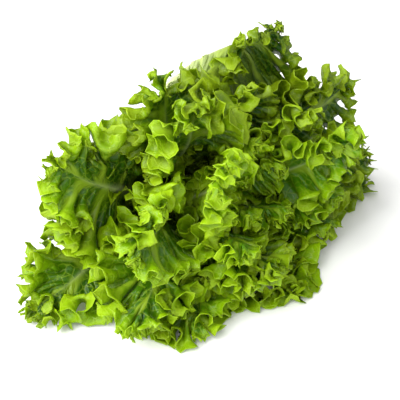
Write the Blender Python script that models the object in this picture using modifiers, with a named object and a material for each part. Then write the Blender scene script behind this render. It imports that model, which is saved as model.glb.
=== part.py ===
"""A head of frilly green leaf lettuce, cut at the stem and lying on its side.

Units are metres, +Z is up.  The leaves fan out from a short stem towards -Y, and the
outermost ones rest on the floor at Z = 0.  Every leaf is a curved sheet on its own layer
of the fan, outer leaves on the wide layers and heart leaves on the narrow ones, so the
leaves nest inside each other without touching.
"""

import math

import bmesh
import bpy
import numpy as np
from mathutils import Matrix, Vector

# The stem, a tapered core with its cut face at the back.
STEM_RADIUS = 0.0135
STEM_TIP_RADIUS = 0.0022
STEM_LENGTH = 0.034
STEM_RISE = math.radians(10)
STEM_SIDES = 24
CUT_EDGE_BEVEL = 0.0012
CUT_EDGE_ANGLE = math.radians(50)

# The bundle of leaf bases round the stem, and the fan that it opens into.
BUNDLE_RADIUS = 0.0185
FAN_REACH = 0.20
FAN_SIDE_ANGLE = math.radians(64)
FAN_TOP_ANGLE = math.radians(68)
FAN_MIDDLE = 0.36
FAN_START = 0.34
FLOOR_SQUARENESS = 0.72
# The fan bulges up on the left, where its leaves stand wider.
BULGE = 0.50
BULGE_TURN = math.radians(-65)
BULGE_SPREAD = math.radians(36)

# The belly lies flat, and past SAG_START the leaves sag to the floor, more steeply on the left.
BELLY_SAG = 0.44
SAG_START = 0.060
SAG_EASE = 0.030
SAG_SLOPE_LEFT = 0.53
SAG_SLOPE_RIGHT = 0.39

# A leaf is a thin blade with a thicker rib along its middle, which fades towards the tip.
BLADE_THICKNESS = 0.0010
RIB_THICKNESS = 0.0024
RIB_HALF_SHARE = 0.30
RIB_FADES_AT = 0.75
CELLS_ACROSS = 12
CELLS_ALONG = 10
# How deep the floor cuts into the leaves that rest on it.
FLOOR_PRESS = 0.0005
CUTTER_SIZE = 0.9
# The steps in which a layer's ring is measured.
RING_STEPS = 721

# A leaf starts as a stalk and opens into its blade between two shares of its length.
STALK_HALF_WIDTH = 0.004
STALK_WIDENING = 0.009
OPENS_FROM = 0.08
OPENS_OVER = 0.70
TIP_ROUNDING = 0.26
# Widths in metres, and the share of its reach that a leaf on the innermost layer keeps.
INNERMOST_WIDTH = 0.040
OUTER_EXTRA_WIDTH = 0.123
WIDTH_POWER = 0.8
INNERMOST_REACH = 0.95
# Leaves leave the stem where their layer clears it by this gap.
ATTACH_GAP = 0.0010
LAYER_SPREAD = 0.16
LEAST_ATTACHMENT = 0.0025

# Leaves grow in a spiral, each one a golden angle on from the last and on a narrower layer.
GOLDEN_ANGLE = math.radians(-137.5)
FIRST_TURN = math.radians(180)
LAYER_STEP = 0.0375
# How far an outermost leaf reaches at each turn round the stem, in degrees and metres.
REACHES = (
    (-140, 0.206),
    (-95, 0.180),
    (-56, 0.208),
    (0, 0.172),
    (45, 0.180),
    (85, 0.226),
    (135, 0.200),
    (180, 0.178),
)
# How many of them are called outer, middle, inner and heart leaves.
RANKS = (("outer", 8), ("middle", 8), ("inner", 5), ("heart", 3))

GREEN = (0.16, 0.36, 0.02, 1.0)
PALE_GREEN = (0.42, 0.56, 0.14, 1.0)
STEM_WHITE = (0.72, 0.74, 0.50, 1.0)


def clear_scene():
    for item in list(bpy.data.objects):
        bpy.data.objects.remove(item)


def material(name, colour, roughness):
    made = bpy.data.materials.new(name)
    made.use_nodes = True
    shader = made.node_tree.nodes["Principled BSDF"]
    shader.inputs["Base Color"].default_value = colour
    shader.inputs["Roughness"].default_value = roughness
    shader.inputs["Metallic"].default_value = 0.0
    return made


def sag(x):
    """How far the leaves hang down at this distance to the side."""
    past = np.maximum(np.abs(x) - SAG_START, 0)
    slope = np.where(x < 0, SAG_SLOPE_LEFT, SAG_SLOPE_RIGHT)
    return BELLY_SAG * x**2 + slope * past**2 / (past + SAG_EASE)


def fan_points(layer, turn, reach):
    """Points on one layer of the fan, reach metres from the stem's foot, at these turns round it."""
    side = np.sin(turn)
    lift = np.cos(turn)
    low = lift < 0
    square_side = np.sign(side) * np.abs(side) ** FLOOR_SQUARENESS
    square_lift = -np.abs(lift) ** FLOOR_SQUARENESS
    away = np.angle(np.exp(1j * (turn - BULGE_TURN)))
    wide = layer * (1 + BULGE * np.exp(-((away / BULGE_SPREAD) ** 2)))
    across = wide * np.where(low, square_side, side)
    height = FAN_MIDDLE + wide * np.where(low, square_lift * FAN_MIDDLE, lift * (1 - FAN_MIDDLE))
    opening = FAN_START + (1 - FAN_START) * reach / FAN_REACH
    yaw = FAN_SIDE_ANGLE * across * opening
    pitch = FAN_TOP_ANGLE * height * opening
    x = BUNDLE_RADIUS * layer * side + reach * np.sin(yaw) * np.cos(pitch)
    y = -reach * np.cos(yaw) * np.cos(pitch)
    z = BUNDLE_RADIUS * (1 + layer * lift) + reach * np.sin(pitch)
    return np.stack([x, y, z - sag(x)], axis=-1)


def fan_point(layer, centre_turn, reach, offset):
    """The point on a layer this far along it from its line at centre_turn, to the right if positive."""
    turns = centre_turn + np.linspace(-math.pi, math.pi, RING_STEPS)
    ring = fan_points(layer, turns, reach)
    steps = np.linalg.norm(np.diff(ring, axis=0), axis=1)
    along = np.concatenate([[0.0], np.cumsum(steps)])
    along -= along[RING_STEPS // 2]
    return [np.interp(offset, along, ring[:, axis]) for axis in range(3)]


def leaf_half_width(share, layer, width):
    """Half the leaf's width at this share of its length: a narrow stalk, then a broad blade."""
    stalk = STALK_HALF_WIDTH + STALK_WIDENING * layer
    opening = np.clip((share - OPENS_FROM) / OPENS_OVER, 0, 1)
    smooth = opening * opening * (3 - 2 * opening)
    return stalk + (width / 2 - stalk) * smooth


def leaf_size(layer, turn):
    """A leaf's length and width, which both shrink towards the heart."""
    turns = np.radians([degrees for degrees, _ in REACHES])
    reaches = [metres for _, metres in REACHES]
    outermost = np.interp(turn, turns, reaches, period=2 * math.pi)
    length = outermost * (INNERMOST_REACH + (1 - INNERMOST_REACH) * layer)
    width = INNERMOST_WIDTH + OUTER_EXTRA_WIDTH * layer**WIDTH_POWER
    return length, width


def attachment(layer):
    """How far along the stem a leaf on this layer leaves it."""
    taper = (STEM_RADIUS - STEM_TIP_RADIUS) / STEM_LENGTH
    needed = STEM_RADIUS + ATTACH_GAP + RIB_THICKNESS / 2 - layer * BUNDLE_RADIUS
    return max(LEAST_ATTACHMENT, needed / (layer * LAYER_SPREAD + taper))


def rib_weight(across, share):
    """1 on the middle of the rib at the leaf's foot, 0 on the blade and at the tip."""
    return max(0.0, 1 - abs(across) / RIB_HALF_SHARE) * max(0.0, 1 - share / RIB_FADES_AT)


def leaf(name, layer, turn, finish, collection):
    length, width = leaf_size(layer, turn)
    start = attachment(layer)
    grid = bmesh.new()
    bmesh.ops.create_grid(grid, x_segments=CELLS_ACROSS, y_segments=CELLS_ALONG, size=1)
    flat = [(v.co.x, (v.co.y + 1) / 2) for v in grid.verts]
    for v, (across, share) in zip(grid.verts, flat):
        offset = across * leaf_half_width(share, layer, width)
        reach = start + (length - start) * share * (1 - TIP_ROUNDING * share * across**2)
        v.co = Vector(fan_point(layer, turn, reach, offset))
        v.co.z += RIB_THICKNESS / 2 - FLOOR_PRESS
    mesh = bpy.data.meshes.new(name)
    bmesh.ops.recalc_face_normals(grid, faces=grid.faces)
    grid.to_mesh(mesh)
    grid.free()
    mesh.materials.append(finish)
    mesh.shade_smooth()
    made = bpy.data.objects.new(name, mesh)
    collection.objects.link(made)
    rib = made.vertex_groups.new(name="rib")
    for index, (across, share) in enumerate(flat):
        rib.add([index], rib_weight(across, share), "REPLACE")
    shell = made.modifiers.new("Sheet", "SOLIDIFY")
    shell.thickness = RIB_THICKNESS
    shell.offset = 0
    shell.vertex_group = rib.name
    shell.thickness_vertex_group = BLADE_THICKNESS / RIB_THICKNESS
    return made


def stem(finish, collection):
    core = bmesh.new()
    bmesh.ops.create_cone(
        core,
        cap_ends=True,
        segments=STEM_SIDES,
        radius1=STEM_RADIUS,
        radius2=STEM_TIP_RADIUS,
        depth=STEM_LENGTH,
    )
    lay_down = Matrix.Rotation(math.radians(90) - STEM_RISE, 4, "X")
    foot = Vector((0, 0, BUNDLE_RADIUS))
    bmesh.ops.transform(core, matrix=Matrix.Translation((0, 0, STEM_LENGTH / 2)), verts=core.verts)
    bmesh.ops.transform(core, matrix=Matrix.Translation(foot) @ lay_down, verts=core.verts)
    mesh = bpy.data.meshes.new("stem")
    core.to_mesh(mesh)
    core.free()
    mesh.materials.append(finish)
    made = bpy.data.objects.new("stem", mesh)
    collection.objects.link(made)
    rounded = made.modifiers.new("Cut edge", "BEVEL")
    rounded.width = CUT_EDGE_BEVEL
    rounded.segments = 2
    rounded.limit_method = "ANGLE"
    rounded.angle_limit = CUT_EDGE_ANGLE
    return made


def floor_cutter(collection):
    """A block under the floor, which flattens the leaves that the head rests on."""
    bpy.ops.mesh.primitive_cube_add(size=CUTTER_SIZE, location=(0, 0, -CUTTER_SIZE / 2))
    made = bpy.context.object
    made.name = "floor_cutter"
    for owner in list(made.users_collection):
        owner.objects.unlink(made)
    collection.objects.link(made)
    made.hide_render = True
    made.display_type = "WIRE"
    return made


def lowest(made):
    graph = bpy.context.evaluated_depsgraph_get()
    shape = made.evaluated_get(graph)
    return min((shape.matrix_world @ v.co).z for v in shape.data.vertices)


def centre_on_origin(made_parts):
    """Moves the whole head so that the middle of its footprint is the origin."""
    graph = bpy.context.evaluated_depsgraph_get()
    corners = []
    for made in made_parts:
        shape = made.evaluated_get(graph)
        corners += [shape.matrix_world @ v.co for v in shape.data.vertices]
    middle_x = (min(c.x for c in corners) + max(c.x for c in corners)) / 2
    middle_y = (min(c.y for c in corners) + max(c.y for c in corners)) / 2
    for made in made_parts:
        made.location.x -= middle_x
        made.location.y -= middle_y


def main():
    clear_scene()
    head = bpy.data.collections.new("lettuce_head")
    helpers = bpy.data.collections.new("cutters")
    for made in (head, helpers):
        bpy.context.scene.collection.children.link(made)
    leaf_green = material("leaf_green", GREEN, 0.45)
    heart_green = material("heart_green", PALE_GREEN, 0.45)
    stem_white = material("stem_white", STEM_WHITE, 0.5)
    cutter = floor_cutter(helpers)
    made_parts = [stem(stem_white, head)]
    number = 0
    for rank, count in RANKS:
        for place in range(count):
            finish = heart_green if rank in ("inner", "heart") else leaf_green
            layer = 1 - LAYER_STEP * number
            turn = FIRST_TURN + GOLDEN_ANGLE * number
            made_parts.append(leaf(f"{rank}_leaf_{place + 1:02d}", layer, turn, finish, head))
            number += 1
    bpy.context.view_layer.update()
    for made in made_parts:
        if lowest(made) < 0:
            cut = made.modifiers.new("Rest on floor", "BOOLEAN")
            cut.operation = "DIFFERENCE"
            cut.object = cutter
    bpy.context.view_layer.update()
    centre_on_origin(made_parts)


main()
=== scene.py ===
"""The looks of a head of frilly green leaf lettuce, lying on its side.

The leaves start as smooth sheets on the nested layers of the CAD model's fan. Some are posed
a little away from their CAD leaf, as POSED says. Then most margins grow to eight or nine
times their first length, so that every blade buckles into ruffles, and the blades push each
other apart where they come close.
"""

import math
from typing import NamedTuple

import bpy
import numpy as np
from bpy.props import FloatProperty, FloatVectorProperty, IntProperty, PointerProperty
from mathutils import Matrix, Vector


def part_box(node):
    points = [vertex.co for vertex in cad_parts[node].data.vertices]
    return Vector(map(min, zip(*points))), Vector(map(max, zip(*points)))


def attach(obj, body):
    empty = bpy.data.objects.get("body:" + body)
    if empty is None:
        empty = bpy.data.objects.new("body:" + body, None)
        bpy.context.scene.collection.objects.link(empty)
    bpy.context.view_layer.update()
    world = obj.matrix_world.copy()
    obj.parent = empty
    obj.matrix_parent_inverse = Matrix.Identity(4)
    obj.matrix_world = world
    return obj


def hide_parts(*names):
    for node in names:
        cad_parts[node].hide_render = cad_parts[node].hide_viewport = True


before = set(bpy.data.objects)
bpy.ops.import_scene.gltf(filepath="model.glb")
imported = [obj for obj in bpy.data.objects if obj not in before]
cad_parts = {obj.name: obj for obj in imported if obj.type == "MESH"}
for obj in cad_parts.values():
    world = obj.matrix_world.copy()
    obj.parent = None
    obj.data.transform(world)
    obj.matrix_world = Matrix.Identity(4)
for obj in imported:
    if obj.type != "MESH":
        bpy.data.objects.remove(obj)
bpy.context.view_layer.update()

bl_info = {
    "name": "Leaf lettuce",
    "version": (1, 0, 0),
    "blender": (4, 5, 0),
    "location": "View3D > Sidebar > Lettuce",
    "description": "Grows the ruffled leaves of a lettuce round its stem",
    "category": "Object",
}

# The stem and the fan that the leaves lie on, in metres and radians, with the CAD model's values apart
# from CLEARANCE and SHEET_LIFT, which are for the thinner sheets here.
STEM_RADIUS = 0.0135
STEM_TIP_RADIUS = 0.0022
STEM_LENGTH = 0.034
STEM_RISE = math.radians(10)
BUNDLE_RADIUS = 0.0185
FAN_REACH = 0.20
FAN_SIDE_ANGLE = math.radians(64)
FAN_TOP_ANGLE = math.radians(68)
FAN_MIDDLE = 0.36
FAN_START = 0.34
FLOOR_SQUARENESS = 0.72
BULGE = 0.50
BULGE_TURN = math.radians(-65)
BULGE_SPREAD = math.radians(36)
BELLY_SAG = 0.44
SAG_START = 0.060
SAG_EASE = 0.030
SAG_SLOPE_LEFT = 0.53
SAG_SLOPE_RIGHT = 0.39
STALK_HALF_WIDTH = 0.004
STALK_WIDENING = 0.009
OPENS_FROM = 0.08
OPENS_OVER = 0.70
TIP_ROUNDING = 0.26
INNERMOST_WIDTH = 0.040
OUTER_EXTRA_WIDTH = 0.123
WIDTH_POWER = 0.8
INNERMOST_REACH = 0.95
CLEARANCE = 0.0022
LAYER_SPREAD = 0.16
LEAST_ATTACHMENT = 0.0025
SHEET_LIFT = 0.0007
GOLDEN_ANGLE = math.radians(-137.5)
FIRST_TURN = math.radians(180)
LAYER_STEP = 0.0375
REACHES = (
    (-140, 0.206),
    (-95, 0.180),
    (-56, 0.208),
    (0, 0.172),
    (45, 0.180),
    (85, 0.226),
    (135, 0.200),
    (180, 0.178),
)

# Leaves that are posed away from their CAD leaf. Stretch is the share of its length that a leaf stretches
# or shrinks to, arch how far its rib rises, in metres, bare the share of its margin that is a bare stalk,
# and swing how far it turns round the stem, in degrees.
POSED = {
    "outer_leaf_01": {"stretch": 1.08},
    "outer_leaf_02": {"arch": 0.075, "bare": 0.5},
    "outer_leaf_03": {"stretch": 0.98},
    "outer_leaf_05": {"stretch": 0.92, "swing": -16.0},
    "outer_leaf_06": {"swing": -6.0},
    "middle_leaf_02": {"stretch": 0.94, "arch": 0.010},
    "middle_leaf_03": {"stretch": 1.10},
    "middle_leaf_05": {"stretch": 1.05, "arch": 0.010},
    "middle_leaf_06": {"stretch": 1.10},
    "middle_leaf_08": {"stretch": 1.20},
    "inner_leaf_05": {"stretch": 1.15, "swing": -10.0},
}
# An arch rises steeply from the stem, and fades to the sides over this width, in metres.
ARCH_POWER = 0.6
RIDGE_WIDTH = 0.040
# The notches between a leaf's lobes: how many on each side, how far their places shift from one leaf to
# the next, and how far they go in towards the rib.
LOBES = 5
LOBE_SHIFT = 5.3
LOBE_DEPTH = 0.30
# A bare stalk: how far in its side is, the share of the margin over which the blade begins above it, and
# how much of it doesn't grow.
BARE_CUT = 0.85
BARE_EASE = 0.12
BARE_UNGROWN = 0.9
RANKS = (("outer", 8), ("middle", 8), ("inner", 5), ("heart", 3))
# Points round and across the finished mesh of a leaf of each rank.
FINISHED_POINTS = {"outer": (1150, 22), "middle": (980, 20), "inner": (720, 18), "heart": (480, 16)}

# The table that a layer is read from, and the steps in which its rings are measured.
RING_STEPS = 721
TABLE_REACHES = 50
TABLE_OFFSETS = 61
TABLE_MARGIN = 1.2

# A leaf's columns run from its rib to its margin, slanting to the tip as its side veins do.
OUTLINE_STEPS = 200
OUTLINE_ROUNDING = 14
RIB_END = 0.90
VEIN_LEAN = 1.35
ROW_BUNCHING = 0.5
STALK_SHARE = 0.12

# Stages of growth: columns, rows, how many times its first length the margin of the blade aims at, and
# steps of growth and of settling.
STAGES = ((320, 14, 2.2, 110, 10), (640, 18, 4.8, 75, 5), (1300, 20, 10.5, 52, 12))
GROWS_FROM = 0.05
# Part of the growth reaches deep into the blade, and the rest keeps to the margin.
DEEP_SHARE = 0.14
DEEP_POWER = 1.4
MARGIN_POWER = 3.7
# Growth is uneven in this many patches round a leaf, by these shares.
UNEVEN = ((16, 0.35), (40, 0.35), (110, 0.30))
# How far the margin sinks at each step, how many broad waves a blade starts with, and how rough it is.
DROOP = 0.000013
WAVES_ROUND = 12
ROUGHNESS = 0.0010
# The blade is drawn back to its layer near the rib, and its points are held on the rib itself.
HOME_PULL = 0.25
HOME_SHARE = 0.30
RIB_HELD = 0.06
RIB_EASE = 0.22
MOMENTUM = 0.85
SOLVER_ROUNDS = 2
STRETCH_STIFFNESS = 0.9
SHEAR = 0.2
VEIN_STIFFNESS = 0.95
# A run of this many cells may not bend shorter than this share of its length.
BEND_SPANS = {2: 0.86, 3: 0.64, 4: 0.85, 7: 0.85}
# The blade is stiff as far out as this, and firm as far as that; beyond them it is soft.
STIFF_TO = 0.62
FIRM_TO = 0.88
# Points that come closer than this are pushed apart, unless they are neighbours on one leaf. Margins end
# up with their points further apart than that, so folds can still cut into each other.
TOUCH = 0.0025
TOUCH_EVERY = 3
NEIGHBOURS = 4
TAKES_PART = 0.35
FLOOR_GAP = 0.0012

# Teeth of the margin: spacing and depth in metres, large ones first.
TEETH = ((0.024, 0.0050), (0.0105, 0.0036), (0.0050, 0.0018))
TOOTH_SHARPNESS = 0.8
TOOTH_FADE = 3.0
LEAST_TOOTH_FADE = 0.004
# How high the blade puffs up between its small veins.
BLISTER = 0.0004
# Half the rib's width at the foot and the tip of an outer leaf, the innermost leaf's share of that, and
# how far up a leaf, or past a bare stalk, its foot stays pale.
RIB_HALF_WIDTH = 0.0095
RIB_TIP_HALF_WIDTH = 0.0008
INNERMOST_RIB = 0.35
BASE_FADE = 0.32
BARE_FADE = 1.7
LEAST_WEIGHT = 0.001
# Points of a leaf that come this close, in metres, are joined.
WELD = 0.00002

# Veins: side veins round a leaf, how much they stray, and how strongly they and their net show.
SIDE_VEINS = 26.0
VEIN_WOBBLE = 0.9
VEIN_SHARE = 0.5
NET_SHARE = 0.55
# Cells of the net to a metre: meshes of about 6 mm with 2 mm ones inside.
NET_CELLS = 165.0
FINE_NET_CELLS = 500.0
VEIN_RELIEF = 0.0006
# How strongly the margin's yellow green shows, as painted light that lightens every margin; how strongly
# each leaf's tone shows against the blotches, a tone that holds painted light on one side of the head; and
# how dark the painted shade makes the blade near its rib, standing in for the shade in the head's hollows.
PAINTED_RIM_LIGHT = 0.42
TONE_SHARE = 0.45
INNER_SHADE = 0.22
# Painted light: the leaves on the side of the head towards the key light, to the left, are painted lighter.
# The back of a leaf is paler.
PAINTED_LIGHT_SIDE = 0.4
PAINTED_LIGHT_TURN = math.radians(-85)
BACK_PALER = 0.25
# The share of the light that shines through a blade, and the surface of its waxy face and duller back.
GLOW = 0.36
LEAF_IOR = 1.42
FACE_ROUGHNESS = 0.36
BACK_ROUGHNESS = 0.5
# Noise on the blade, in humps to a metre: the veins' straying and the blotches of its green.
STRAY_HUMPS = 45.0
BLOTCH_HUMPS = 28.0

# The stem: its corners, rings on its cut face, how far that is dished and wavy, and the scars of fallen
# leaves round its side, as a share of its radius and a twist in radians to the metre.
STEM_CORNERS = 96
STEM_RINGS = 6
FACE_DISH = 0.0009
FACE_WAVE = 0.0002
SCAR_DEPTH = 0.035
SCAR_TWIST = 140.0
SCARS_ROUND = 5
# Noise on the stem, in humps to a metre: its fibre bundles and its blotches.
FIBRE_HUMPS = 420.0
STEM_BLOTCH_HUMPS = 110.0
# Colours of the stem's flesh, lighter and darker, of the rust near its rim and of its rind.
FLESH_COLOURS = "#EEF0CC", "#D3DDA0"
RUST_COLOUR = "#B98A52"
RIND_COLOUR = "#B9CC74"
# The floor's two whites.
BOARD_COLOURS = "#FAFAF8", "#F6F6F5"

# The stage: the floor's width, where the camera looks, its lens in millimetres, and each light's name,
# place, size and power.
FLOOR_WIDTH = 12
LOOK_AT = Vector((-0.01, 0.0, 0.049))
CAMERA_LENS = 85.0
WORLD_LIGHT = 0.5
LIGHTS = (
    ("key_light", (-1.4, 0.3, 1.5), 2.2, 104.0),
    ("fill_light", (-0.6, -0.9, 0.8), 0.9, 5.0),
)

# Where the middle of the stem's foot is.
STEM_LOW, STEM_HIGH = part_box("stem")
FOOT = Vector(
    ((STEM_LOW.x + STEM_HIGH.x) / 2, STEM_HIGH.y - STEM_RADIUS * math.sin(STEM_RISE), BUNDLE_RADIUS)
)


class Spot(NamedTuple):
    """Where a leaf lies on the fan, and how it is posed there, as POSED says."""

    layer: float
    turn: float
    stretch: float
    arch: float
    bare: float


# ---------------------------------------------------------------- the fan of layers


def sag(x):
    """How far the leaves hang down at this distance to the side."""
    past = np.maximum(np.abs(x) - SAG_START, 0)
    slope = np.where(x < 0, SAG_SLOPE_LEFT, SAG_SLOPE_RIGHT)
    return BELLY_SAG * x**2 + slope * past**2 / (past + SAG_EASE)


def fan_points(layer, turn, reach):
    """Points on one layer of the fan, reach metres from the stem's foot, at these turns round it."""
    side = np.sin(turn)
    lift = np.cos(turn)
    low = lift < 0
    square_side = np.sign(side) * np.abs(side) ** FLOOR_SQUARENESS
    square_lift = -np.abs(lift) ** FLOOR_SQUARENESS
    away = np.angle(np.exp(1j * (turn - BULGE_TURN)))
    wide = layer * (1 + BULGE * np.exp(-((away / BULGE_SPREAD) ** 2)))
    across = wide * np.where(low, square_side, side)
    height = FAN_MIDDLE + wide * np.where(low, square_lift * FAN_MIDDLE, lift * (1 - FAN_MIDDLE))
    opening = FAN_START + (1 - FAN_START) * reach / FAN_REACH
    yaw = FAN_SIDE_ANGLE * across * opening
    pitch = FAN_TOP_ANGLE * height * opening
    x = BUNDLE_RADIUS * layer * side + reach * np.sin(yaw) * np.cos(pitch)
    y = -reach * np.cos(yaw) * np.cos(pitch)
    z = BUNDLE_RADIUS * (1 + layer * lift) + reach * np.sin(pitch)
    return np.stack([FOOT.x + x, FOOT.y + y, z - sag(x) + SHEET_LIFT], axis=-1)


def layer_surface(layer, turn, reach, offset, width, length):
    """Points on a layer at arrays of reach and of distance along the layer from the leaf's line."""
    reaches = np.linspace(0, length * TABLE_MARGIN, TABLE_REACHES)
    offsets = np.linspace(-width * TABLE_MARGIN / 2, width * TABLE_MARGIN / 2, TABLE_OFFSETS)
    turns = turn + np.linspace(-math.pi, math.pi, RING_STEPS)
    table = np.empty((TABLE_REACHES, TABLE_OFFSETS, 3))
    for row, at in enumerate(reaches):
        ring = fan_points(layer, turns, at)
        steps = np.linalg.norm(np.diff(ring, axis=0), axis=1)
        along = np.concatenate([[0.0], np.cumsum(steps)])
        along -= along[RING_STEPS // 2]
        for axis in range(3):
            table[row, :, axis] = np.interp(offsets, along, ring[:, axis])
    down = np.clip(reach / reaches[1], 0, TABLE_REACHES - 1.001)
    over = np.clip((offset - offsets[0]) / (offsets[1] - offsets[0]), 0, TABLE_OFFSETS - 1.001)
    row, column = down.astype(int), over.astype(int)
    down, over = (down - row)[..., None], (over - column)[..., None]
    near = table[row, column] * (1 - over) + table[row, column + 1] * over
    far = table[row + 1, column] * (1 - over) + table[row + 1, column + 1] * over
    return near * (1 - down) + far * down


# ---------------------------------------------------------------- the outline of a leaf


def leaf_half_width(share, layer, width):
    """Half the leaf's width at this share of its length: a narrow stalk, then a broad blade."""
    stalk = STALK_HALF_WIDTH + STALK_WIDENING * layer
    opening = np.clip((share - OPENS_FROM) / OPENS_OVER, 0, 1)
    smooth = opening * opening * (3 - 2 * opening)
    return stalk + (width / 2 - stalk) * smooth


def leaf_size(spot):
    """A leaf's length and width, which both shrink towards the heart."""
    turns = np.radians([degrees for degrees, _ in REACHES])
    reaches = [metres for _, metres in REACHES]
    outermost = np.interp(spot.turn, turns, reaches, period=2 * math.pi)
    length = spot.stretch * outermost * (INNERMOST_REACH + (1 - INNERMOST_REACH) * spot.layer)
    width = INNERMOST_WIDTH + OUTER_EXTRA_WIDTH * spot.layer**WIDTH_POWER
    return length, width


def attachment(layer):
    """How far along the stem a leaf on this layer leaves it."""
    taper = (STEM_RADIUS - STEM_TIP_RADIUS) / STEM_LENGTH
    needed = STEM_RADIUS + CLEARANCE - layer * BUNDLE_RADIUS
    return max(LEAST_ATTACHMENT, needed / (layer * LAYER_SPREAD + taper))


def smoothed(line, span):
    """A line of values averaged over span of its points, with its ends kept."""
    weights = np.hanning(span | 1)
    weights /= weights.sum()
    pad = len(weights) // 2
    head = 2 * line[0] - line[pad:0:-1]
    tail = 2 * line[-1] - line[-2:-pad - 2:-1]
    return np.convolve(np.concatenate([head, line, tail]), weights, "valid")


def leaf_lines(spot, columns):
    """Where a leaf's columns start on its rib and end on its margin, from one corner of its foot
    round the tip to the other: offsets and reaches of the margin, and reaches of the rib."""
    length, width = leaf_size(spot)
    start = attachment(spot.layer)
    share = np.linspace(0, 1, OUTLINE_STEPS)
    across = np.linspace(1, 0, OUTLINE_STEPS // 2)[1:]
    offset = np.concatenate([leaf_half_width(share, spot.layer, width), across * width / 2])
    reach = np.concatenate([share * (1 - TIP_ROUNDING * share), 1 - TIP_ROUNDING * across**2])
    reach = start + (length - start) * reach
    offset = np.concatenate([-offset, offset[-2::-1]])
    reach = np.concatenate([reach, reach[-2::-1]])
    arc = np.concatenate([[0.0], np.cumsum(np.hypot(np.diff(offset), np.diff(reach)))])
    at = np.linspace(0, arc[-1], columns)
    span = columns // OUTLINE_ROUNDING
    margin_offset = smoothed(np.interp(at, arc, offset), span)
    margin_reach = smoothed(np.interp(at, arc, reach), span)
    tip = towards_tip(columns)
    rib_reach = start + (length - start) * RIB_END * tip**VEIN_LEAN
    notch = np.clip(np.cos(math.pi * (2 * LOBES * tip + spot.layer * LOBE_SHIFT)), 0, 1) ** 2
    cut = LOBE_DEPTH * notch * np.sin(math.pi * tip) ** 0.5
    stalk = np.clip((spot.bare - tip) / BARE_EASE, 0, 1)
    cut = np.maximum(cut, BARE_CUT * stalk * stalk * (3 - 2 * stalk))
    margin_offset = margin_offset * (1 - cut)
    margin_reach = rib_reach + (margin_reach - rib_reach) * (1 - cut)
    arc = np.concatenate([[0.0], np.cumsum(np.hypot(np.diff(margin_offset), np.diff(margin_reach)))])
    at = np.linspace(0, arc[-1], columns)
    return tuple(np.interp(at, arc, line) for line in (margin_offset, margin_reach, rib_reach))


def towards_tip(columns):
    """0 at the first and last column, at the leaf's foot, and 1 at its tip."""
    return 1 - np.abs(np.linspace(-1, 1, columns))


def across_blade(rows):
    """0 on the rib and 1 on the margin, with the rows bunched towards the margin."""
    even = np.linspace(0, 1, rows)
    return even * (1 + ROW_BUNCHING * (1 - even))


def flat_leaf(spot, columns, rows):
    """Points (column, row, xyz) of a leaf before it grows, raised along its rib by an arch."""
    length, width = leaf_size(spot)
    margin_offset, margin_reach, rib_reach = leaf_lines(spot, columns)
    over = across_blade(rows)
    offset = margin_offset[:, None] * over
    reach = rib_reach[:, None] * (1 - over) + margin_reach[:, None] * over
    points = layer_surface(spot.layer, spot.turn, reach, offset, width, length)
    ridge = np.sin(math.pi * np.clip(reach / length, 0, 1) ** ARCH_POWER)
    ridge = ridge * np.exp(-((offset / RIDGE_WIDTH) ** 2))
    points[..., 2] += spot.arch * ridge
    return points


# ---------------------------------------------------------------- growth


def soft_noise(rng, shape, column_span, row_span):
    """Smooth noise from -1 to 1 over (leaf, column, row), its humps about that many points apart."""
    leaves, columns, rows = shape
    down = np.arange(columns) / column_span
    over = np.arange(rows) / row_span
    coarse = rng.uniform(-1, 1, (leaves, int(down[-1]) + 2, int(over[-1]) + 2))
    i, j = down.astype(int), over.astype(int)
    down, over = (down - i)[:, None], over - j
    down = down * down * (3 - 2 * down)
    over = over * over * (3 - 2 * over)
    near = coarse[:, i][:, :, j] * (1 - down) + coarse[:, i + 1][:, :, j] * down
    far = coarse[:, i][:, :, j + 1] * (1 - down) + coarse[:, i + 1][:, :, j + 1] * down
    return near * (1 - over) + far * over


def cubic(points, at):
    """Values between points on the last axis but one, at these places on it, on smooth curves."""
    count = points.shape[-2]
    first = np.minimum(at.astype(int), count - 2)
    part = (at - first)[:, None]
    before, after = np.clip(first - 1, 0, None), np.clip(first + 2, None, count - 1)
    a, b, c, d = (points[..., pick, :] for pick in (before, first, first + 1, after))
    return b + 0.5 * part * (c - a + part * (2 * a - 5 * b + 4 * c - d + part * (3 * (b - c) + d - a)))


def resampled(points, columns, rows):
    """The same sheets with another number of columns and rows."""
    old_columns, old_rows = points.shape[-2:]
    row_places = np.interp(across_blade(rows), across_blade(old_rows), np.arange(old_rows))
    points = cubic(points, np.linspace(0, old_columns - 1, columns))
    return np.swapaxes(cubic(np.swapaxes(points, -1, -2), row_places), -1, -2)


def hold_apart(points, free, step, rest, strength, only_push=False):
    """Moves each point and the one a step of (columns, rows) on towards their rest distance."""
    over, down = step
    columns, rows = points.shape[2:]
    here = (Ellipsis, slice(0, columns - over), slice(max(0, -down), rows - max(0, down)))
    there = (Ellipsis, slice(over, columns), slice(max(0, down), rows + min(0, down)))
    gap = points[there] - points[here]
    distance = np.sqrt((gap * gap).sum(0)) + 1e-9
    change = 1 - rest / distance
    if only_push:
        np.minimum(change, 0, out=change)
    gap *= change * strength / 2
    points[here] += gap * free[here]
    points[there] -= gap * free[there]


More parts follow.
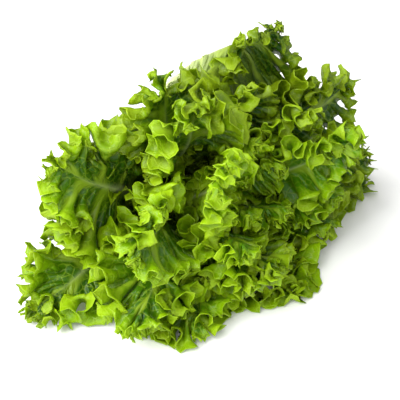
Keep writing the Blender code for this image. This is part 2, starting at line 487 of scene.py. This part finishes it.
def part_sheets(points, taking, places):
    """Pushes points that came too close to a point of another leaf, or of another fold, apart."""
    leaf, column, row = places
    own = points.reshape(3, -1)[:, taking].T
    cells = ((own - own.min(0)) / TOUCH).astype(np.int32) + 1
    size = cells.max(0) + 2
    key = (cells[:, 0] * size[1] + cells[:, 1]) * size[2] + cells[:, 2]
    grid = np.full(int(size.prod()), -1, np.int32)
    grid[key] = np.arange(len(own), dtype=np.int32)
    move = np.zeros_like(own)
    met = np.zeros(len(own), np.float32)
    for offset in np.ndindex(3, 3, 3):
        i, j, k = (o - 1 for o in offset)
        other = grid[key + (i * size[1] + j) * size[2] + k]
        who = np.nonzero(other >= 0)[0]
        other = other[who]
        apart = leaf[who] != leaf[other]
        apart |= np.abs(column[who] - column[other]) > NEIGHBOURS
        apart |= np.abs(row[who] - row[other]) > NEIGHBOURS
        who, other = who[apart], other[apart]
        gap = own[who] - own[other]
        distance = np.sqrt((gap * gap).sum(1)) + 1e-9
        near = distance < TOUCH
        who, push = who[near], gap[near] * ((TOUCH / distance[near] - 1) / 2)[:, None]
        for axis in range(3):
            move[:, axis] += np.bincount(who, push[:, axis], len(own))
        met += np.bincount(who, minlength=len(own))
    move /= np.sqrt(np.maximum(met, 1))[:, None]
    points.reshape(3, -1)[:, taking] += move.T


def normals_of(points):
    """The direction out of each sheet at every point."""
    along, over = np.gradient(points, axis=2), np.gradient(points, axis=3)
    out = np.cross(along, over, axis=0)
    return out / (np.linalg.norm(out, axis=0) + 1e-12)


def grow_leaves(spots, settings):
    """Grows a sheet at each spot, all together, in stages that are each finer than the last, and
    returns their points as (xyz, leaf, column, row)."""
    rng = np.random.default_rng(settings.seed)
    unevenness = rng.integers(1 << 30)
    points, reached = None, 1.0
    for columns, rows, growth, steps, settling in STAGES:
        home = np.stack([flat_leaf(spot, columns, rows) for spot in spots])
        home = np.moveaxis(home, -1, 0).astype(np.float32)
        shape = home.shape[1:]
        over, tip = across_blade(rows), towards_tip(columns)
        stalks = np.array([max(STALK_SHARE, spot.bare * BARE_UNGROWN) for spot in spots])[:, None]
        blade = np.clip((tip - stalks) / STALK_SHARE, 0, 1)[..., None]
        rise = np.clip((over - GROWS_FROM) / (1 - GROWS_FROM), 0, 1)
        same = np.random.default_rng(unevenness)
        patches = (share * soft_noise(same, shape, columns / count, rows / 2) for count, share in UNEVEN)
        patchy = 1 + sum(patches)
        profile = DEEP_SHARE * rise**DEEP_POWER + (1 - DEEP_SHARE) * rise**MARGIN_POWER
        gain = profile * blade * patchy
        gain = (gain[:, 1:] + gain[:, :-1]) / 2
        if points is None:
            waves = soft_noise(rng, shape, columns / WAVES_ROUND, rows) * rise * blade
            points = home + normals_of(home) * (settings.wave_height * waves)
        else:
            points = resampled(points, columns, rows)
        rough = soft_noise(rng, shape, 5, 4) + 0.7 * soft_noise(rng, shape, 2.5, 3)
        points = (points + normals_of(home) * (ROUGHNESS * rough * rise * blade)).astype(np.float32)
        relax_stage(points, home, gain, (reached, growth, steps, settling), over, tip)
        reached = growth
    return points


def relax_stage(points, home, gain, plan, over, tip):
    """Lengthens the rows of every sheet bit by bit and lets the sheets find their shape."""
    reached, growth, steps, settling = plan
    freed = np.clip((over - RIB_HELD) / RIB_EASE, 0, 1)
    freed = freed * np.clip(tip / STALK_SHARE - 0.3, 0, 1)[:, None]
    free = np.broadcast_to(freed, points.shape[1:]).astype(np.float32).copy()
    pull = (HOME_PULL * (1 - np.clip(over / HOME_SHARE, 0, 1)) ** 2).astype(np.float32)
    taking = np.nonzero(free.reshape(-1) > TAKES_PART)[0]
    places = np.unravel_index(taking, free.shape)
    stiff = np.clip((STIFF_TO - over) / 0.2, 0, 1).astype(np.float32) / 2
    firm = np.clip((FIRM_TO - over) / 0.15, 0, 1).astype(np.float32) / 2
    around = np.linalg.norm(np.diff(home, axis=2), axis=0)
    outwards = np.linalg.norm(np.diff(home, axis=3), axis=0)
    corner = (np.diff(home, axis=2)[..., :-1] * np.diff(home, axis=3)[:, :, :-1]).sum(0)
    slant = corner / (around[:, :, :-1] * outwards[:, :-1] + 1e-12)
    two_out = (outwards[:, :, 1:] + outwards[:, :, :-1]) * VEIN_STIFFNESS
    last = points.copy()
    for step in range(steps + settling):
        if step < steps:
            grown = reached + (growth - reached) * (step + 1) / steps
            edge = around * (1 + (grown - 1) * gain).astype(np.float32)
            run, rise = edge[:, :, :-1], outwards[:, :-1]
            square, twice = run**2 + rise**2, 2 * run * rise * slant
            diagonals = np.sqrt(square + twice), np.sqrt(square - twice)
            total = np.concatenate([np.zeros_like(edge[:, :1]), np.cumsum(edge, axis=1)], axis=1)
            spans = {count: total[:, count:] - total[:, :-count] for count in BEND_SPANS}
        speed = (points - last) * MOMENTUM
        last = points.copy()
        points += speed * free
        points[2] -= DROOP * free * over**2
        for _ in range(SOLVER_ROUNDS):
            hold_apart(points, free, (1, 0), edge, STRETCH_STIFFNESS)
            hold_apart(points, free, (0, 1), outwards, STRETCH_STIFFNESS)
            hold_apart(points, free, (1, 1), diagonals[0], SHEAR)
            hold_apart(points, free, (1, -1), diagonals[1], SHEAR)
            hold_apart(points, free, (2, 0), spans[2] * BEND_SPANS[2], 0.5, True)
        hold_apart(points, free, (3, 0), spans[3] * BEND_SPANS[3], 0.6, True)
        hold_apart(points, free, (4, 0), spans[4] * BEND_SPANS[4], firm, True)
        hold_apart(points, free, (7, 0), spans[7] * BEND_SPANS[7], stiff, True)
        hold_apart(points, free, (0, 2), two_out, 0.5, True)
        points += (home - points) * pull
        if step % TOUCH_EVERY == 0:
            part_sheets(points, taking, places)
        np.maximum(points[2], FLOOR_GAP, out=points[2])


# ---------------------------------------------------------------- finishing a leaf


def wander(along, spacing, low, high, rng):
    """A value that wanders between low and high, with a new aim each spacing metres."""
    marks = np.arange(0, along[-1] + 2 * spacing, spacing)
    return np.interp(along, marks, rng.uniform(low, high, len(marks)))


def toothed(points, rng):
    """Cuts the margin into pointed teeth, large and small, by drawing it back along the blade."""
    columns, rows = points.shape[1:]
    steps = np.linalg.norm(np.diff(points[:, :, -1], axis=1), axis=0)
    along = np.concatenate([[0.0], np.cumsum(steps)])
    cut = np.zeros(columns)
    for spacing, depth in TEETH:
        place = along / spacing + wander(along, spacing * 1.7, -0.5, 0.5, rng)
        size = depth * wander(along, spacing * 2.3, 0.2, 1.0, rng)
        cut += size * np.abs(np.sin(math.pi * place)) ** TOOTH_SHARPNESS
    cut *= np.clip(towards_tip(columns) / STALK_SHARE - 1, 0, 1)
    cells = np.linalg.norm(np.diff(points, axis=2), axis=0)
    inward = np.cumsum(cells[:, ::-1], axis=1)[:, ::-1]
    inward = np.concatenate([inward, np.zeros((columns, 1))], axis=1)
    fade = np.clip(1 - inward / (TOOTH_FADE * cut[:, None] + LEAST_TOOTH_FADE), 0, 1)
    cells = np.concatenate([cells, cells[:, -1:]], axis=1)
    at = np.clip(np.arange(rows) - cut[:, None] * fade / cells, 0, rows - 1)
    first = np.minimum(at.astype(int), rows - 2)
    part = at - first
    column = np.arange(columns)[:, None]
    return points[:, column, first] * (1 - part) + points[:, column, first + 1] * part


def blistered(points, rng):
    """Puffs the blade up between its small veins."""
    shape = (1, *points.shape[1:])
    columns, rows = points.shape[1:]
    puffs = soft_noise(rng, shape, columns / 56, 3)[0] + soft_noise(rng, shape, columns / 150, 2)[0]
    above_stalk = np.clip(towards_tip(columns) / STALK_SHARE - 0.5, 0, 1)[:, None]
    blade = np.clip(across_blade(rows) * 4, 0, 1) * above_stalk
    return points + normals_of(points[:, None])[:, 0] * (BLISTER * puffs * blade)


def rib_weights(spot, columns, rows):
    """1 where a leaf's rib is thickest, 0 on its blade, and the same for how pale the blade is."""
    margin_offset, margin_reach, rib_reach = leaf_lines(spot, columns)
    over = across_blade(rows)
    aside = np.abs(margin_offset[:, None] * over)
    reach = rib_reach[:, None] * (1 - over) + margin_reach[:, None] * over
    share = np.clip((reach - rib_reach[0]) / (rib_reach.max() - rib_reach[0]), 0, 1)
    half = RIB_HALF_WIDTH * (1 - share) ** 0.8 + RIB_TIP_HALF_WIDTH
    half = half * (INNERMOST_RIB + (1 - INNERMOST_RIB) * spot.layer)
    profile = np.sqrt(np.clip(1 - (aside / half) ** 2, 0, 1))
    thick = profile * (1 - share) ** 0.9
    pale = np.clip(1 - aside / (half * 1.3), 0, 1) * np.clip(1 - share, 0, 1) ** 0.7
    faded = max(BASE_FADE, BARE_FADE * spot.bare) * margin_reach.max()
    base = np.clip(1 - (reach - rib_reach[0]) / faded, 0, 1)
    return thick, np.clip(pale + base**1.5, 0, 1)


def leaf_mesh(name, points):
    """A leaf's open sheet, from a grid with one vertex for each of its points."""
    columns, rows = points.shape[1:]
    bpy.ops.object.select_all(action="DESELECT")
    bpy.ops.mesh.primitive_grid_add(x_subdivisions=columns - 1, y_subdivisions=rows - 1, size=1)
    made = bpy.context.object
    made.name = name
    made.data.name = name
    flat = np.moveaxis(points, 0, -1).swapaxes(0, 1).reshape(-1)
    made.data.vertices.foreach_set("co", flat.astype(np.float32))
    made.data.update()
    return made


def store(mesh, name, values):
    """Keeps one number for each vertex, for a material to read. values is (column, row)."""
    layer = mesh.attributes.new(name, "FLOAT", "POINT")
    layer.data.foreach_set("value", values.T.reshape(-1).astype(np.float32))


def finish_leaf(name, spot, points, finishes, settings, rng):
    """Turns one grown sheet into a closed, toothed, veined leaf."""
    columns, rows = FINISHED_POINTS[name.split("_")[0]]
    points = resampled(points, columns, rows)
    points = blistered(toothed(points, rng), rng)
    points[2] = np.maximum(points[2], FLOOR_GAP)
    thick, pale = rib_weights(spot, columns, rows)
    made = leaf_mesh(name, points)
    mesh = made.data
    store(mesh, "pale", pale)
    over, tip = across_blade(rows), towards_tip(columns)
    store(mesh, "edge", np.broadcast_to(over, (columns, rows)))
    tone = soft_noise(rng, (1, columns, rows), columns / 18, rows / 2)[0] * 0.5 + rng.uniform(-0.5, 0.5)
    # Painted light: a leaf turned towards the key light is given a lighter tone.
    tone += PAINTED_LIGHT_SIDE * math.cos(spot.turn - PAINTED_LIGHT_TURN)
    store(mesh, "tone", tone)
    group = made.vertex_groups.new(name="rib")
    for index, weight in enumerate(thick.T.reshape(-1)):
        if weight > LEAST_WEIGHT:
            group.add([index], float(weight), "REPLACE")
    for finish in finishes:
        mesh.materials.append(finish)
    bpy.ops.object.mode_set(mode="EDIT")
    bpy.ops.mesh.select_all(action="SELECT")
    bpy.ops.mesh.remove_doubles(threshold=WELD)
    bpy.ops.object.mode_set(mode="OBJECT")
    mesh.shade_smooth()
    shell = made.modifiers.new("Sheet", "SOLIDIFY")
    shell.thickness = settings.rib_thickness
    shell.offset = 1
    shell.vertex_group = group.name
    shell.thickness_vertex_group = settings.blade_thickness / settings.rib_thickness
    shell.material_offset = 1
    bpy.ops.object.modifier_apply(modifier=shell.name)
    for vertex in mesh.vertices:
        vertex.co.z = max(vertex.co.z, 0.0)
    return made


# ---------------------------------------------------------------- materials


def linear(code):
    """An sRGB hex colour as linear red, green, blue and alpha."""
    parts = [int(code[place:place + 2], 16) / 255 for place in (1, 3, 5)]
    return (*(c / 12.92 if c <= 0.04045 else ((c + 0.055) / 1.055) ** 2.4 for c in parts), 1.0)


def node(tree, kind, inputs=(), output=0, **settings):
    """Adds a node with its settings, and values or links for its inputs, and gives one output."""
    made = tree.nodes.new(kind)
    for name, value in settings.items():
        setattr(made, name, value)
    for name, value in dict(inputs).items():
        if isinstance(value, bpy.types.NodeSocket):
            tree.links.new(value, made.inputs[name])
        else:
            made.inputs[name].default_value = value
    return made.outputs[output] if made.outputs else made


def new_material(name):
    """A material and its empty node tree."""
    made = bpy.data.materials.new(name)
    made.use_nodes = True
    made.node_tree.nodes.clear()
    return made, made.node_tree


def side_veins(tree, over, around, place):
    """1 on the side veins that leave the rib, 0 between them, fading out near the margin."""
    wobble = node(tree, "ShaderNodeTexNoise", {"Vector": place, "Scale": STRAY_HUMPS, "Detail": 2.0})
    wobble = node(tree, "ShaderNodeMath", {0: wobble, 1: VEIN_WOBBLE}, operation="MULTIPLY")
    phase = node(tree, "ShaderNodeMath", {0: around, 1: SIDE_VEINS, 2: wobble}, operation="MULTIPLY_ADD")
    aside = node(tree, "ShaderNodeMath", {0: phase, 1: 1.0}, operation="PINGPONG")
    open_over = node(tree, "ShaderNodeMath", {0: over, 1: 0.08}, operation="MAXIMUM")
    scaled = node(tree, "ShaderNodeMath", {0: aside, 1: open_over}, operation="MULTIPLY")
    line = node(
        tree,
        "ShaderNodeMapRange",
        {"Value": scaled, "From Min": 0.018, "From Max": 0.060, "To Min": 1.0, "To Max": 0.0},
        interpolation_type="SMOOTHSTEP",
    )
    fading = node(
        tree,
        "ShaderNodeMapRange",
        {"Value": over, "From Min": 0.5, "From Max": 0.95, "To Min": 1.0, "To Max": 0.1},
    )
    return node(tree, "ShaderNodeMath", {0: line, 1: fading}, operation="MULTIPLY")


def leaf_material(name, colours, back):
    """Living lettuce blade: thin, wet-celled and waxy, so light shines through it and glints on it.
    Side veins run from the rib to the margin and a net of small veins lies between them; they are
    sunken on the upper side, and stand out on the back, which is paler and duller."""
    dark, mid, light, vein, pale = colours
    if back:
        dark, mid = (tuple(Vector(colour).lerp(light, BACK_PALER)) for colour in (dark, mid))
    made, tree = new_material(name)
    place = node(tree, "ShaderNodeTexCoord", output="Object")
    uv = node(tree, "ShaderNodeUVMap", uv_map="UVMap")
    split = node(tree, "ShaderNodeSeparateXYZ", {0: uv}, output="X")
    around, over = split, split.node.outputs["Y"]
    side_vein = side_veins(tree, over, around, place)
    # The net's lines are a little wider than real, to show.
    coarse = node(
        tree,
        "ShaderNodeTexVoronoi",
        {"Vector": place, "Scale": NET_CELLS},
        feature="DISTANCE_TO_EDGE",
    )
    fine = node(
        tree,
        "ShaderNodeTexVoronoi",
        {"Vector": place, "Scale": FINE_NET_CELLS},
        feature="DISTANCE_TO_EDGE",
    )
    net = node(
        tree,
        "ShaderNodeMapRange",
        {"Value": coarse, "From Min": 0.02, "From Max": 0.10, "To Min": NET_SHARE, "To Max": 0.0},
        interpolation_type="SMOOTHSTEP",
    )
    veins = node(tree, "ShaderNodeMath", {0: side_vein, 1: net}, operation="MAXIMUM")
    # The tone is each leaf's own random tone, plus painted light on the side of the head towards the key
    # light.
    tone = node(tree, "ShaderNodeAttribute", output="Fac", attribute_name="tone")
    blotch = node(tree, "ShaderNodeTexNoise", {"Vector": place, "Scale": BLOTCH_HUMPS, "Detail": 3.0})
    shade = node(tree, "ShaderNodeMath", {0: tone, 1: TONE_SHARE, 2: blotch}, operation="MULTIPLY_ADD")
    shade = node(
        tree,
        "ShaderNodeMapRange",
        {"Value": shade, "From Min": 0.2, "From Max": 0.8},
        interpolation_type="SMOOTHSTEP",
    )
    edge = node(tree, "ShaderNodeAttribute", output="Fac", attribute_name="edge")
    # Painted shade: the blade is darkened towards its rib, standing in for the shade in the hollows of the
    # head.
    painted_inner_shade = node(
        tree,
        "ShaderNodeMapRange",
        {"Value": edge, "From Min": 0.1, "From Max": 0.9, "To Min": INNER_SHADE},
    )
    shade = node(tree, "ShaderNodeMath", {0: shade, 1: painted_inner_shade}, operation="MULTIPLY")
    colour = node(tree, "ShaderNodeMix", {0: shade, 6: dark, 7: mid}, output=2, data_type="RGBA")
    # Painted light: every margin is lightened towards the yellow green, standing in for light that catches
    # and shines through the thin edges.
    rim = node(tree, "ShaderNodeMapRange", {"Value": edge, "From Min": 0.45, "To Max": PAINTED_RIM_LIGHT})
    colour = node(tree, "ShaderNodeMix", {0: rim, 6: colour, 7: light}, output=2, data_type="RGBA")
    marked = node(tree, "ShaderNodeMath", {0: veins, 1: VEIN_SHARE}, operation="MULTIPLY")
    colour = node(tree, "ShaderNodeMix", {0: marked, 6: colour, 7: vein}, output=2, data_type="RGBA")
    paleness = node(tree, "ShaderNodeAttribute", output="Fac", attribute_name="pale")
    paleness = node(
        tree,
        "ShaderNodeMapRange",
        {"Value": paleness, "From Min": 0.05, "From Max": 0.85},
        interpolation_type="SMOOTHSTEP",
    )
    colour = node(tree, "ShaderNodeMix", {0: paleness, 6: colour, 7: pale}, output=2, data_type="RGBA")
    relief = node(tree, "ShaderNodeMath", {0: fine, 1: -0.5, 2: veins}, operation="MULTIPLY_ADD")
    bump = node(
        tree,
        "ShaderNodeBump",
        {"Height": relief, "Strength": 0.5, "Distance": VEIN_RELIEF},
        invert=not back,
    )
    surface = node(
        tree,
        "ShaderNodeBsdfPrincipled",
        {
            "Base Color": colour,
            "Roughness": BACK_ROUGHNESS if back else FACE_ROUGHNESS,
            "IOR": LEAF_IOR,
            "Specular IOR Level": 0.5,
            "Normal": bump,
        },
    )
    glow_colour = node(tree, "ShaderNodeMix", {0: 0.5, 6: colour, 7: light}, output=2, data_type="RGBA")
    glow = node(tree, "ShaderNodeBsdfTranslucent", {"Color": glow_colour, "Normal": bump})
    mixed = node(tree, "ShaderNodeMixShader", {0: GLOW, 1: surface, 2: glow})
    node(tree, "ShaderNodeOutputMaterial", {"Surface": mixed})
    return made


def stem_material():
    """Cut lettuce stem: wet pale flesh with faint fibre bundles, a greener rind, and a cut face that
    the air has begun to turn rusty near its rim."""
    made, tree = new_material("cut_lettuce_stem")
    place = node(tree, "ShaderNodeTexCoord", output="Object")
    middle = node(tree, "ShaderNodeAttribute", output="Fac", attribute_name="from_axis")
    face = node(tree, "ShaderNodeAttribute", output="Fac", attribute_name="face")
    grain = node(tree, "ShaderNodeTexNoise", {"Vector": place, "Scale": FIBRE_HUMPS, "Detail": 4.0})
    blotch = node(tree, "ShaderNodeTexNoise", {"Vector": place, "Scale": STEM_BLOTCH_HUMPS, "Detail": 3.0})
    flesh = node(
        tree,
        "ShaderNodeMix",
        {0: blotch, 6: linear(FLESH_COLOURS[0]), 7: linear(FLESH_COLOURS[1])},
        output=2,
        data_type="RGBA",
    )
    warped = node(tree, "ShaderNodeMath", {0: blotch, 1: 0.28, 2: middle}, operation="MULTIPLY_ADD")
    ring = node(tree, "ShaderNodeMath", {0: warped, 1: 0.86, 2: 0.13}, operation="COMPARE")
    soft_ring = node(tree, "ShaderNodeMath", {0: ring, 1: 0.6, 2: blotch}, operation="MULTIPLY_ADD")
    rust = node(tree, "ShaderNodeMath", {0: soft_ring, 1: face}, operation="MULTIPLY")
    rust = node(tree, "ShaderNodeMath", {0: rust, 1: 0.55}, operation="MULTIPLY")
    colour = node(
        tree,
        "ShaderNodeMix",
        {0: rust, 6: flesh, 7: linear(RUST_COLOUR)},
        output=2,
        data_type="RGBA",
    )
    rind = node(tree, "ShaderNodeMapRange", {"Value": face, "To Min": 0.5, "To Max": 0.0})
    colour = node(
        tree,
        "ShaderNodeMix",
        {0: rind, 6: colour, 7: linear(RIND_COLOUR)},
        output=2,
        data_type="RGBA",
    )
    bump = node(tree, "ShaderNodeBump", {"Height": grain, "Strength": 0.4, "Distance": 0.0004})
    surface = node(
        tree,
        "ShaderNodeBsdfPrincipled",
        {"Base Color": colour, "Roughness": 0.38, "IOR": 1.4, "Normal": bump},
    )
    node(tree, "ShaderNodeOutputMaterial", {"Surface": surface})
    return made


def floor_material():
    """Matt white studio board, with the faintest mottle so that it isn't a flat tone."""
    made, tree = new_material("white_studio_board")
    place = node(tree, "ShaderNodeTexCoord", output="Object")
    mottle = node(tree, "ShaderNodeTexNoise", {"Vector": place, "Scale": 3.0, "Detail": 2.0})
    colour = node(
        tree,
        "ShaderNodeMix",
        {0: mottle, 6: linear(BOARD_COLOURS[0]), 7: linear(BOARD_COLOURS[1])},
        output=2,
        data_type="RGBA",
    )
    surface = node(tree, "ShaderNodeBsdfPrincipled", {"Base Color": colour, "Roughness": 0.8})
    node(tree, "ShaderNodeOutputMaterial", {"Surface": surface})
    return made


# ---------------------------------------------------------------- settings


def colour_setting(name, description, code):
    """A colour that the panel shows, from its sRGB hex value."""
    return FloatVectorProperty(
        name=name, description=description, default=linear(code), size=4, min=0.0, max=1.0, subtype="COLOR"
    )


class LettuceLeafSettings(bpy.types.PropertyGroup):
    seed: IntProperty(name="Seed", description="Draws the leaves' waves and teeth", default=5, min=0)
    wave_height: FloatProperty(
        name="Wave height",
        description="How far a blade's broad waves stand off its layer",
        default=0.012,
        min=0.0,
        subtype="DISTANCE",
        unit="LENGTH",
    )
    blade_thickness: FloatProperty(
        name="Blade thickness",
        description="Thickness of a leaf's blade",
        default=0.00034,
        min=0.0001,
        precision=5,
        subtype="DISTANCE",
        unit="LENGTH",
    )
    rib_thickness: FloatProperty(
        name="Rib thickness",
        description="Thickness of a rib at the leaf's foot",
        default=0.0034,
        min=0.0005,
        precision=5,
        subtype="DISTANCE",
        unit="LENGTH",
    )
    # The grown leaf's deepest green is partly its own dark green and partly painted shade: it is made dark
    # for the hollows of the head, and the painted shade near the rib mixes towards it.
    grown_shade: colour_setting("Grown leaf, deep", "Deepest green of a grown leaf's blade", "#1E4C00")
    grown_green: colour_setting("Grown leaf", "Green of a grown leaf's blade", "#6A9E02")
    young_shade: colour_setting("Young leaf, deep", "Deepest green of a young leaf's blade", "#4A8202")
    young_green: colour_setting("Young leaf", "Green of a young leaf's blade", "#8CBA0A")
    # This colour tints the light that shines through a blade and pales its back, and it also lightens every
    # margin as painted light.
    margin: colour_setting("Margin", "Yellow green of the thin ruffled margins", "#C2E00A")
    vein: colour_setting("Veins", "Colour of the side veins and their net", "#B6D036")
    rib: colour_setting("Rib", "Pale colour of the ribs and of the leaves' feet", "#E2EBB0")


class LettuceStemSettings(bpy.types.PropertyGroup):
    radius: FloatProperty(
        name="Stem radius",
        description="Radius of the stem where it was cut",
        default=0.0145,
        min=0.005,
        subtype="DISTANCE",
        unit="LENGTH",
    )


class LettuceStageSettings(bpy.types.PropertyGroup):
    azimuth: FloatProperty(
        name="Azimuth",
        description="Where the camera stands round the head",
        default=math.radians(-46),
        subtype="ANGLE",
        unit="ROTATION",
    )
    elevation: FloatProperty(
        name="Elevation",
        description="How far the camera looks down",
        default=math.radians(35),
        subtype="ANGLE",
        unit="ROTATION",
    )
    distance: FloatProperty(
        name="Distance",
        description="From the camera to the middle of the head",
        default=0.725,
        subtype="DISTANCE",
        unit="LENGTH",
    )


# ---------------------------------------------------------------- operators


class LETTUCE_OT_leaves(bpy.types.Operator):
    """Grow all the leaves together and finish each one"""

    bl_idname = "lettuce.leaves"
    bl_label = "Leaves"

    def execute(self, context):
        settings = context.scene.lettuce_leaves
        names, spots = [], []
        for rank, count in RANKS:
            for place in range(count):
                number = len(spots)
                names.append(f"{rank}_leaf_{place + 1:02d}")
                pose = POSED.get(names[-1], {})
                turn = FIRST_TURN + GOLDEN_ANGLE * number + math.radians(pose.get("swing", 0.0))
                spot = Spot(
                    layer=1 - LAYER_STEP * number,
                    turn=turn,
                    stretch=pose.get("stretch", 1.0),
                    arch=pose.get("arch", 0.0),
                    bare=pose.get("bare", 0.0),
                )
                spots.append(spot)
        grown = grow_leaves(spots, settings)
        greens = {
            "grown": (settings.grown_shade, settings.grown_green),
            "young": (settings.young_shade, settings.young_green),
        }
        finishes = {}
        for age, blade in greens.items():
            colours = [tuple(colour) for colour in (*blade, settings.margin, settings.vein, settings.rib)]
            finishes[age] = [
                leaf_material(f"{age}_lettuce_{side}", colours, side == "back") for side in ("face", "back")
            ]
        rng = np.random.default_rng(settings.seed + 1)
        for number, (name, spot) in enumerate(zip(names, spots)):
            is_young = name.startswith(("inner", "heart"))
            points = grown[:, number].astype(float)
            age = "young" if is_young else "grown"
            made = finish_leaf(name + "_look", spot, points, finishes[age], settings, rng)
            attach(made, "root")
            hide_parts(name)
        return {"FINISHED"}


class LETTUCE_OT_stem(bpy.types.Operator):
    """Model the cut stem that the leaves grow from"""

    bl_idname = "lettuce.stem"
    bl_label = "Stem"

    def execute(self, context):
        radius = context.scene.lettuce_stem.radius
        bpy.ops.object.select_all(action="DESELECT")
        bpy.ops.mesh.primitive_cone_add(
            vertices=STEM_CORNERS,
            radius1=radius,
            radius2=STEM_TIP_RADIUS,
            depth=STEM_LENGTH,
            location=(0, 0, STEM_LENGTH / 2),
        )
        made = context.object
        made.name = made.data.name = "stem_look"
        bpy.ops.object.transform_apply()
        bpy.ops.object.mode_set(mode="EDIT")
        bpy.ops.mesh.select_mode(type="FACE")
        bpy.ops.mesh.select_all(action="DESELECT")
        bpy.ops.object.mode_set(mode="OBJECT")
        for face in made.data.polygons:
            face.select = face.normal.z < -0.9
        bpy.ops.object.mode_set(mode="EDIT")
        for step in range(STEM_RINGS):
            bpy.ops.mesh.inset(thickness=radius / (STEM_RINGS + 1), depth=0)
        bpy.ops.mesh.poke()
        bpy.ops.object.mode_set(mode="OBJECT")
        for edge in made.data.edges:
            ends = [made.data.vertices[v].co.z for v in edge.vertices]
            edge.select = abs(ends[0] - ends[1]) > STEM_LENGTH / 2
        bpy.ops.object.mode_set(mode="EDIT")
        bpy.ops.mesh.select_mode(type="EDGE")
        bpy.ops.mesh.subdivide(number_cuts=STEM_RINGS * 3)
        bpy.ops.object.mode_set(mode="OBJECT")
        face_layer = made.data.attributes.new("face", "FLOAT", "POINT")
        axis_layer = made.data.attributes.new("from_axis", "FLOAT", "POINT")
        lay_down = Matrix.Translation(FOOT) @ Matrix.Rotation(math.radians(90) - STEM_RISE, 4, "X")
        for index, vertex in enumerate(made.data.vertices):
            out = math.hypot(vertex.co.x, vertex.co.y)
            turn = math.atan2(vertex.co.y, vertex.co.x)
            share = out / radius
            on_face = vertex.co.z < STEM_LENGTH * 0.01
            face_layer.data[index].value = 1.0 if on_face else 0.0
            axis_layer.data[index].value = share
            if on_face:
                dish = FACE_DISH * (1 - share**2)
                wave = FACE_WAVE * math.sin(3 * turn + 9 * share) * (1 - share**6)
                vertex.co.z = max(dish + wave, 0.0)
            else:
                scar = SCAR_DEPTH * math.sin(SCARS_ROUND * turn + vertex.co.z * SCAR_TWIST)
                vertex.co.x *= 1 + scar
                vertex.co.y *= 1 + scar
        made.data.transform(lay_down)
        made.data.materials.append(stem_material())
        made.data.shade_smooth()
        bpy.ops.object.shade_smooth_by_angle(angle=math.radians(50))
        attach(made, "root")
        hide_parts("stem")
        return {"FINISHED"}


class LETTUCE_OT_stage(bpy.types.Operator):
    """Set the floor, the soft studio light and the camera"""

    bl_idname = "lettuce.stage"
    bl_label = "Stage"

    def execute(self, context):
        scene = context.scene
        settings = scene.lettuce_stage
        bpy.ops.object.select_all(action="DESELECT")
        bpy.ops.mesh.primitive_plane_add(size=FLOOR_WIDTH)
        floor = context.object
        floor.name = "studio_floor"
        floor.data.materials.append(floor_material())
        world = bpy.data.worlds.new("studio_world")
        world.use_nodes = True
        backdrop = world.node_tree.nodes["Background"]
        backdrop.inputs["Color"].default_value = (1.0, 1.0, 1.0, 1.0)
        backdrop.inputs["Strength"].default_value = WORLD_LIGHT
        scene.world = world
        for name, place, size, power in LIGHTS:
            bpy.ops.object.light_add(type="AREA", location=place)
            light = context.object
            light.name = name
            light.data.size = size
            light.data.energy = power
            light.rotation_euler = (LOOK_AT - Vector(place)).to_track_quat("-Z", "Y").to_euler()
        flat = math.cos(settings.elevation)
        back = Vector(
            (
                math.sin(settings.azimuth) * flat,
                -math.cos(settings.azimuth) * flat,
                math.sin(settings.elevation),
            )
        )
        bpy.ops.object.camera_add(location=LOOK_AT + back * settings.distance)
        camera = context.object
        camera.rotation_euler = back.to_track_quat("Z", "Y").to_euler()
        camera.data.lens = CAMERA_LENS
        scene.camera = camera
        scene.view_settings.view_transform = "Standard"
        return {"FINISHED"}


class LETTUCE_PT_sidebar(bpy.types.Panel):
    bl_label = "Leaf lettuce"
    bl_idname = "LETTUCE_PT_sidebar"
    bl_space_type = "VIEW_3D"
    bl_region_type = "UI"
    bl_category = "Lettuce"

    def draw(self, context):
        layout = self.layout
        for heading, settings, operator in PANEL_ROWS:
            box = layout.box()
            box.label(text=heading)
            group = getattr(context.scene, settings)
            for name in type(group).__annotations__:
                box.prop(group, name)
            box.operator(operator)


PANEL_ROWS = (
    ("Leaves", "lettuce_leaves", "lettuce.leaves"),
    ("Stem", "lettuce_stem", "lettuce.stem"),
    ("Stage", "lettuce_stage", "lettuce.stage"),
)
CLASSES = (
    LettuceLeafSettings,
    LettuceStemSettings,
    LettuceStageSettings,
    LETTUCE_OT_leaves,
    LETTUCE_OT_stem,
    LETTUCE_OT_stage,
    LETTUCE_PT_sidebar,
)


def register():
    for made in CLASSES:
        bpy.utils.register_class(made)
    bpy.types.Scene.lettuce_leaves = PointerProperty(type=LettuceLeafSettings)
    bpy.types.Scene.lettuce_stem = PointerProperty(type=LettuceStemSettings)
    bpy.types.Scene.lettuce_stage = PointerProperty(type=LettuceStageSettings)


def unregister():
    for name in ("lettuce_leaves", "lettuce_stem", "lettuce_stage"):
        delattr(bpy.types.Scene, name)
    for made in reversed(CLASSES):
        bpy.utils.unregister_class(made)


def main():
    register()
    bpy.ops.lettuce.leaves()
    bpy.ops.lettuce.stem()
    bpy.ops.lettuce.stage()


if __name__ == "__main__":
    main()
